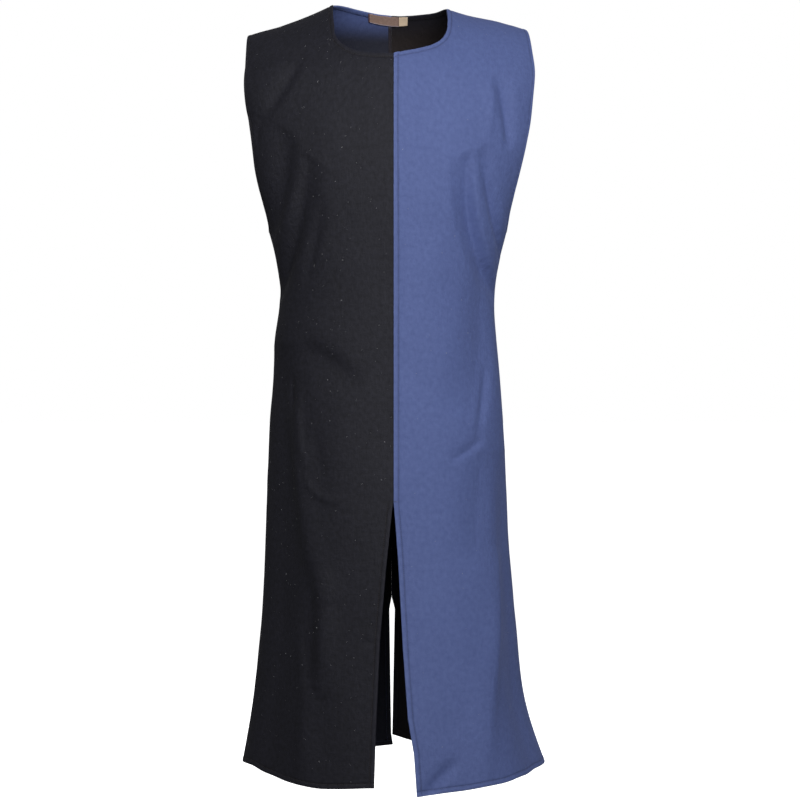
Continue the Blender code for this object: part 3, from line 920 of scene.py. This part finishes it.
def stitches(line, normals):
    """Topstitching along a line: short threads that arch out of the cloth and dip back into it."""
    centre, normal = evenly(line, STITCH_PITCH, normals)
    direction = unit(np.gradient(centre, axis=0))
    reach = STITCH_RINGS[:, None] * STITCH_LENGTH / 2
    height = (STITCH_RISE - STITCH_DIP * STITCH_RINGS**2)[:, None]
    lines = centre[:, None] + direction[:, None] * reach + normal[:, None] * height
    return tubes(lines, normal[:, None], THREAD * (1 - STITCH_TAPER * STITCH_RINGS**4))


def stitched_edges(name):
    """Which stretches of a panel's edges are topstitched, as its edge and a mask of its lines."""
    made = PANEL_SHAPES[name]
    face, side, _ = PANELS[name]
    lines = np.arange(len(made["row"]))
    inside = (lines >= STITCH_INDEX) & (lines < len(lines) - STITCH_INDEX)
    near, far = made["row"][:, 0], made["row"][:, -1]
    start = SLIT_ROW[face] if name != "front_left" else 0
    across = (face == "back") | (made["outer"][0, :, 0] * SIGN[side] > STITCHED_FROM)
    return {
        "top": across,
        "foot": across,
        "near": inside & (near >= start),
        "far": (far > TIP_ROW + ARMHOLE_STOP) & (far < UNDERARM_ROW - ARMHOLE_STOP),
    }


def stitching(name, material):
    """All the topstitching of a panel, on its outer and its inner face, as one piece."""
    made = PANEL_SHAPES[name]
    parts = []
    for edge, mask in stitched_edges(name).items():
        for layer, way in (("outer", 1), ("inner", -1)):
            points, normals = beside(made, edge, layer, [STITCH_LINE])
            parts.append(stitches(points[mask, 0], normals[mask, 0] * way))
    piece = add_mesh(name + "_stitching", *joined(parts), material)
    return piece


def allowance(seam, name, edge, first, last, strip_material, thread_material):
    """A seam's allowances inside a panel, pressed to one side: a thin strip beside the seam from
    row to row, with an overlocked edge whose thread zigzags across it."""
    made = PANEL_SHAPES[name]
    row = made["row"][:, 0 if edge == "near" else -1]
    mask = (row >= first) & (row <= last)
    points, normals = beside(made, edge, "inner", ALLOWANCE_LINES)
    points, normals = points[mask], -normals[mask]
    lines = ALLOWANCE_LINES
    from_edge = np.minimum(lines - lines[0], lines[-1] - lines)
    waver = 1 + WAVER * noise(points[..., 2], points[..., 0], *WAVER_SIZE, WAVER_SEED)
    height = ALLOWANCE_CLOTH * waver - rounded(from_edge, ALLOWANCE_ROUND)
    face, side, _ = PANELS[name]
    flip = (SIGN[face] == SIGN[side]) != (edge == "near")
    raised = points + normals * height[..., None]
    lower = points + normals * ALLOWANCE_GAP
    strip = add_mesh(f"{name}_{seam}_allowance", *slab(raised, lower, flip), strip_material)

    middle, up = evenly(raised[:, len(lines) // 2], OVERLOCK_PITCH / 4, normals[:, 0])
    edge_side, = evenly(raised[:, -1], OVERLOCK_PITCH / 4)
    count = min(len(middle), len(edge_side))
    swing = np.sin(np.arange(count) * np.pi / 2 + np.pi / 4)
    over = unit(edge_side[:count] - middle[:count])
    line = middle[:count] + over * (swing * OVERLOCK_SWING)[:, None] + up[:count] * OVERLOCK_LIFT
    loops = tubes(line[None], up[None, :count], np.full(count, THREAD))
    loops = add_mesh(f"{name}_{seam}_overlock", *loops, thread_material)
    return [strip, loops]


def lint(name, count, seed, material):
    """Stray fibres on a panel: each a small curl on the face, its ends free, at a chance place."""
    made = PANEL_SHAPES[name]
    rng = np.random.default_rng(seed)
    outer, normals = made["outer"], made["normal"]
    margin = len(EDGE_LINES) - 1
    lines, columns = (rng.integers(margin, size - margin, count) for size in outer.shape[:2])
    normal = normals[lines, columns]
    first = unit(np.cross(normal, rng.normal(size=(count, 3))))
    second = np.cross(normal, first)
    place = outer[lines, columns] + first * rng.uniform(-LINT_ASTRAY, LINT_ASTRAY, (count, 1))
    reach = rng.gamma(LINT_SPREAD, LINT_REACH / LINT_SPREAD, (count, 1)) + LINT_LEAST
    curl = rng.uniform(*LINT_CURL, (count, 1))
    phase = rng.uniform(0, 2 * np.pi, (count, 1))
    t = np.linspace(-0.5, 0.5, LINT_RINGS)
    angle = curl * t + phase
    along = np.cos(angle).cumsum(1) / LINT_RINGS * reach
    aside = np.sin(angle).cumsum(1) / LINT_RINGS * reach
    height = LINT_REST + LINT_LIFT * np.abs(np.sin(angle * LINT_WAVE))
    lines = place[:, None] + first[:, None] * along[..., None] + second[:, None] * aside[..., None]
    lines = lines + normal[:, None] * height[..., None]
    thread = LINT_THREAD * rng.gamma(*LINT_THICKNESS, (count, 1)) * np.ones(LINT_RINGS)
    piece = add_mesh(name + "_lint", *tubes(lines, normal[:, None], thread), material)
    return piece


def back_inside(x, down, inward):
    """Points inside the back at x, down from the neck edge along the cloth, and inwards of its
    outer face: the edge's place round and down, looked up at x, with the distance down added."""
    t = np.linspace(0, 1, NECK_STEPS)
    halves = []
    for side in ("right", "left"):
        around, run = neck_edge("back", side, t)
        edge_x = surface("back", side, around, run)[..., 0] * SIGN[side]
        at, start = (np.interp(x * SIGN[side], edge_x, values) for values in (around, run))
        level = surface("back", side, at, start + down)
        normal = outward("back", side, at, start + down)
        halves.append(level + normal * (relief("back", side, at, level[..., 2]) - inward)[..., None])
    return np.where((x < metres(SEAM_BACK_MM))[..., None], *halves)


def label(name, x_start, x_end, length, curl, material):
    """A bare woven label sewn in along its top: a thin slab over the neck hem, whose foot and sides
    bow away from the cloth."""
    across, down = np.linspace(0, 1, LABEL_COLUMNS), np.linspace(0, 1, LABEL_LINES)
    s, t = np.meshgrid(across, down)
    x = x_start + (x_end - x_start) * s
    run = LABEL_TOP + (length - LABEL_TOP) * t
    off = HEM_CLOTH + LABEL_GAP + curl * t**2 + curl * LABEL_CORNER * np.abs(2 * s - 1) ** 6 * t
    edge = np.minimum(np.minimum(s, 1 - s) * (x_end - x_start), np.minimum(t, 1 - t) * length)
    round_off = rounded(edge, LABEL_CLOTH / 2 - LABEL_RIM)
    toward = back_inside(x, run, off + LABEL_CLOTH - round_off)
    away = back_inside(x, run, off + round_off)
    uv = np.stack([x, run], -1).reshape(-1, 2)
    points, quads = slab(toward, away, False)
    piece = add_mesh(name + "_woven", points, quads, material, np.concatenate([uv, uv]))
    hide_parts(name)


def bar_tack(material):
    """The bar at the top of the front slit: a close row of upright threads on the lap."""
    made = PANEL_SHAPES["front_left"]
    line = np.argmin(np.abs(made["row"][:, 0] - SLIT_ROW["front"] + BAR_ABOVE))
    distances = np.linspace(*BAR_REACH, BAR_THREADS)
    points, normals = beside(made, "near", "outer", distances)
    middle, normal = points[line], normals[line]
    down = unit(points[line + 1] - points[line])
    reach = np.linspace(-1, 1, BAR_RINGS)
    lines = middle[:, None] + down[:, None] * reach[:, None] * BAR_HEIGHT / 2
    lines = lines + normal[:, None] * (BAR_RISE - BAR_DIP * reach**2)[:, None]
    threads = tubes(lines, normal[:, None], np.full(BAR_RINGS, THREAD))
    piece = add_mesh("bar_tack", *threads, material)
    return piece


# Materials


class Nodes:
    """The node tree of a material or of the world, with short ways to add nodes to it."""

    def __init__(self, owner):
        self.owner = owner
        owner.use_nodes = True
        self.tree = owner.node_tree

    def fill(self, inputs, values):
        """Set each input to a value, or link it to a socket."""
        for key, value in values.items():
            if isinstance(value, bpy.types.NodeSocket):
                self.tree.links.new(value, inputs[key])
            else:
                inputs[key].default_value = value

    def add(self, kind, values=(), **settings):
        """A node with its settings and the values of its inputs."""
        node = self.tree.nodes.new("ShaderNode" + kind)
        for key, value in settings.items():
            setattr(node, key, value)
        self.fill(node.inputs, dict(values))
        return node

    def math(self, operation, *values):
        """What an operation makes of values or sockets."""
        return self.add("Math", dict(enumerate(values)), operation=operation).outputs[0]

    def times(self, value, factor, plus=0.0):
        """A value times a factor, and something added."""
        return self.math("MULTIPLY_ADD", value, factor, plus)

    def noise(self, place, size, detail=2, roughness=0.5):
        """Noise from -1 to 1 or so, in blots of a size along each axis of the place."""
        sizes = {0: place, 1: tuple(1 / s for s in size)}
        blots = self.add("VectorMath", sizes, operation="MULTIPLY").outputs[0]
        values = {"Vector": blots, "Scale": 1.0, "Detail": detail, "Roughness": roughness}
        return self.times(self.add("TexNoise", values).outputs["Fac"], 2.0, -1.0)

    def mix(self, share, first, second):
        """A colour between two, each a colour or a socket."""
        values = {"Factor": share, 6: first, 7: second}
        return self.add("Mix", values, data_type="RGBA", clamp_factor=True).outputs[2]

    def bump(self, height, distance, normal=None):
        """A normal tilted by the slopes of a height, on top of another normal if there is one."""
        values = {"Height": height, "Distance": distance, "Strength": 1.0}
        return self.add("Bump", values | ({"Normal": normal} if normal else {})).outputs[0]

    def shader(self, **values):
        """The material, with inputs of its shader filled: Base_Color stands for Base Color."""
        values = {key.replace("_", " "): value for key, value in values.items()}
        self.fill(self.tree.nodes["Principled BSDF"].inputs, values)
        return self.owner


def linear(colour):
    """A colour of 0 to 255 as linear light."""
    share = np.array(colour) / 255
    light = np.where(share < 0.04045, share / 12.92, ((share + 0.055) / 1.055) ** 2.4)
    return (*(float(value) for value in light), 1)


def canvas(name, worn_and_highlight, dim, inner, fuzz):
    """Matte cotton canvas: plain weave, uneven yarns, clouds of faded and fresh dye, folded edges
    paler, partly rubbed and partly a painted highlight, painted shade in the sunk stitching, and a
    faint gloss from pressing. Inside, painted shade deepens away from the neck."""
    nodes = Nodes(bpy.data.materials.new(name))
    place = nodes.add("UVMap", uv_map="cloth").outputs[0]
    wear = nodes.add("Attribute", attribute_name="wear").outputs["Fac"]
    inside = nodes.add("Attribute", attribute_name="inside").outputs["Fac"]
    # The paler fold edges, rubbed wear and a painted highlight, lift the tone, and the painted shade of
    # sunk stitching lowers it
    uneven = nodes.times(wear, FOLD_WEAR_AND_LIGHT)
    slub = 0.0
    for across, down, detail, roughness, fade, raised in CANVAS_MARKS:
        mark = nodes.noise(place, (across, down, 1), detail, roughness)
        uneven = nodes.times(mark, fade, uneven)
        if raised:
            slub = nodes.times(mark, raised, slub)
    dye_and_painted_light = nodes.mix(nodes.times(uneven, 0.5, 0.5), linear(dim), linear(worn_and_highlight))
    # Painted shade in the sunk stitching, mixed toward the inner colour
    dye_and_painted_light = nodes.mix(nodes.times(wear, -GROOVE_SHADE), dye_and_painted_light, linear(inner))

    yarn = 2 * np.pi / YARN_PITCH
    parts = nodes.add("SeparateXYZ", {0: place}).outputs
    warp, weft = (nodes.math("SINE", nodes.times(parts[k], yarn)) for k in (0, 1))
    slubs = nodes.bump(slub, SLUB_RELIEF)
    return nodes.shader(
        # Painted shade on the inside, mixed toward the inner colour by the inside share
        Base_Color=nodes.mix(inside, dye_and_painted_light, linear(inner)),
        Roughness=nodes.times(uneven, -GLOSS_SPREAD, MATTNESS),
        Normal=nodes.bump(nodes.times(warp, weft), WEAVE_RELIEF, slubs),
        Specular_IOR_Level=0.34,
        Sheen_Weight=FUZZ,
        Sheen_Roughness=0.4,
        Sheen_Tint=linear(fuzz),
    )


def thread(name, colour, dim):
    """Sewing thread, lint or the cloth of an allowance: twisted, and uneven in its lightness."""
    nodes = Nodes(bpy.data.materials.new(name))
    place = nodes.add("TexCoord").outputs["Object"]
    uneven = nodes.noise(place, THREAD_MARK)
    share = nodes.times(uneven, 0.5, 0.5)
    twist = nodes.noise(place, TWIST)
    return nodes.shader(
        Base_Color=nodes.mix(share, linear(dim), linear(colour)),
        Normal=nodes.bump(twist, TWIST_RELIEF),
        Roughness=0.75,
        Sheen_Weight=0.15,
    )


def woven_label(name, colour, dim, ground, fold=None):
    """A woven label, bare: fine ribs across it, and its ground showing between them in blotches.
    One with a fold is dark at its start, where it is turned under, and has a pale selvedge."""
    nodes = Nodes(bpy.data.materials.new(name))
    place = nodes.add("UVMap", uv_map="cloth").outputs[0]
    parts = nodes.add("SeparateXYZ", {0: place}).outputs
    rib = nodes.math("SINE", nodes.times(parts[1], 2 * np.pi / RIB_PITCH))
    share = nodes.times(rib, RIB_SHARE, 0.5)
    blotch = nodes.noise(place, BLOTCH, detail=3)
    share = nodes.times(blotch, BLOTCH_SHARE, share)
    woven = nodes.mix(share, linear(dim), linear(colour))
    faint = nodes.noise(place, GROUND_MARK)
    share = nodes.times(faint, GROUND_SPREAD, GROUND_SHARE)
    woven = nodes.mix(share, woven, linear(ground))
    if fold:
        x_start, _, length, _ = LABELS["label"]
        turned = nodes.math("LESS_THAN", parts[0], x_start + FOLD_WIDTH)
        selvedge = nodes.math("GREATER_THAN", parts[1], length - SELVEDGE_WIDTH)
        share = nodes.times(selvedge, SELVEDGE_SHARE)
        woven = nodes.mix(share, woven, linear(SELVEDGE))
        woven = nodes.mix(nodes.times(turned, FOLD_SHARE), woven, linear(fold))
    relief = nodes.bump(rib, RIB_RELIEF)
    return nodes.shader(Base_Color=woven, Normal=relief, Roughness=0.7, Sheen_Weight=0.2)


# Canvas colours: paler, for faded dye, rubbed wear and a painted highlight on fold edges; dim; the
# inner colour, a painted shade colour for the inside and the sunk stitching; and the sheen tint
MATERIALS = {
    "black": canvas("black_canvas", (35, 35, 46), (15, 15, 22), (32, 25, 25), (70, 70, 78)),
    "blue": canvas("blue_canvas", (95, 111, 166), (77, 91, 142), (36, 38, 52), (150, 162, 215)),
    "black_thread": thread("black_thread", (50, 50, 58), (24, 24, 28)),
    "blue_thread": thread("blue_thread", (94, 108, 158), (62, 74, 120)),
    "overlock": thread("plum_overlock", (58, 44, 60), (28, 18, 26)),
    "allowance": thread("allowance_cloth", (40, 34, 44), (26, 20, 28)),
    "lint": thread("lint_fibre", (196, 196, 200), (120, 120, 126)),
    "label": woven_label("brown_label", (188, 158, 146), (130, 98, 92), (124, 110, 80), (84, 44, 44)),
    "size_tab": woven_label("beige_tab", (250, 226, 198), (238, 212, 180), (222, 196, 166)),
}


# The pieces

PANEL_SHAPES = {name: panel(face, side) for name, (face, side, _) in PANELS.items()}

for name, (face, side, colour) in PANELS.items():
    made = PANEL_SHAPES[name]
    points, quads = slab(made["outer"], made["inner"], SIGN[face] == SIGN[side])
    uv = np.tile(made["cloth"].reshape(-1, 2), (2, 1))
    # Paler fold edges with a painted highlight and painted shade in the stitching on both faces, and
    # painted shade on the inner face only
    wear = np.stack([made["wear"], made["wear"]])
    inside = np.stack([0 * made["inside"], made["inside"]])
    piece = add_mesh(name + "_panel", points, quads, MATERIALS[colour], uv, wear=wear, inside=inside)
    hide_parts(name)
    extras = [stitching(name, MATERIALS[colour + "_thread"])]
    seed = LINT_SEED + list(PANELS).index(name)
    extras.append(lint(name, LINT_COUNT[colour], seed, MATERIALS["lint"]))
    for seam, seam_panel, *stretch in ALLOWANCES:
        if seam_panel == name:
            extras += allowance(seam, name, *stretch, MATERIALS["allowance"], MATERIALS["overlock"])
    if name == "front_left":
        extras.append(bar_tack(MATERIALS["blue_thread"]))

for name, (x_start, x_end, length, curl) in LABELS.items():
    label(name, x_start, x_end, length, curl, MATERIALS[name])


# Floor, light and camera


def stage_floor():
    """A wide pale floor, below where the hem hangs, that meets the white behind it: rings of
    points about the middle, joined by quads, round one many-sided face."""
    turn = np.arange(FLOOR_SIDES) * 2 * np.pi / FLOOR_SIDES
    circle = np.stack([np.cos(turn), np.sin(turn), 0 * turn], -1)
    points = np.concatenate([circle * radius for radius in FLOOR_RINGS])
    points[:, 2] = FLOOR_Z
    index = np.arange(len(points)).reshape(-1, FLOOR_SIDES)
    onward = np.roll(index, -1, axis=1)
    quads = np.stack([index[:-1], index[1:], onward[1:], onward[:-1]], -1).reshape(-1, 4)
    mesh = bpy.data.meshes.new("floor")
    mesh.from_pydata(points.tolist(), [], [*quads.tolist(), index[0].tolist()])
    pale = Nodes(bpy.data.materials.new("pale_floor")).shader(
        Base_Color=(0.85, 0.85, 0.85, 1),
        Roughness=0.9,
        Emission_Color=WHITE,
        Emission_Strength=1.0,
    )
    mesh.materials.append(pale)
    floor = placed("floor", mesh)
    floor.visible_diffuse = False
    floor.visible_glossy = False
    floor.visible_shadow = False


def softbox(name, place, target, width, height, power):
    """A soft rectangular light at a place, turned to the middle line at the target's height."""
    light = bpy.data.lights.new(name, "AREA")
    light.shape = "RECTANGLE"
    light.size = width
    light.size_y = height
    light.energy = power
    lamp = placed(name, light)
    way = mathutils.Vector((0, 0, target)) - mathutils.Vector(place)
    lamp.rotation_euler = way.to_track_quat("-Z", "Y").to_euler()
    lamp.location = place
    lamp.visible_camera = False


def white_room():
    """White all round for the camera, and a dim even light, darker from below, on the cloth."""
    world = bpy.data.worlds.new("white_room")
    bpy.context.scene.world = world
    nodes = Nodes(world)
    nodes.tree.nodes.clear()
    parts = nodes.add("SeparateXYZ", {0: nodes.add("TexCoord").outputs["Generated"]}).outputs
    heights = {"Value": parts[2], "From Min": -1.0, "To Min": ROOM_BELOW, "To Max": ROOM_ABOVE}
    height = nodes.add("MapRange", heights).outputs[0]
    dim = nodes.add("Background", {"Strength": height}).outputs[0]
    seen = nodes.add("Background", {"Color": WHITE, "Strength": 1.0}).outputs[0]
    straight = nodes.add("LightPath").outputs["Is Camera Ray"]
    mixed = nodes.add("MixShader", {0: straight, 1: dim, 2: seen}).outputs[0]
    nodes.add("OutputWorld", {0: mixed})


def camera():
    """Level and straight in front, as the photograph was taken."""
    lens = bpy.data.cameras.new("camera")
    lens.sensor_width = 36
    lens.lens = LENS
    stand = placed("camera", lens)
    stand.location = CAMERA
    stand.rotation_euler = (np.pi / 2, 0, 0)
    bpy.context.scene.camera = stand


stage_floor()
white_room()
camera()
for values in LIGHTS:
    softbox(*values)
bpy.context.scene.view_settings.view_transform = "Standard"
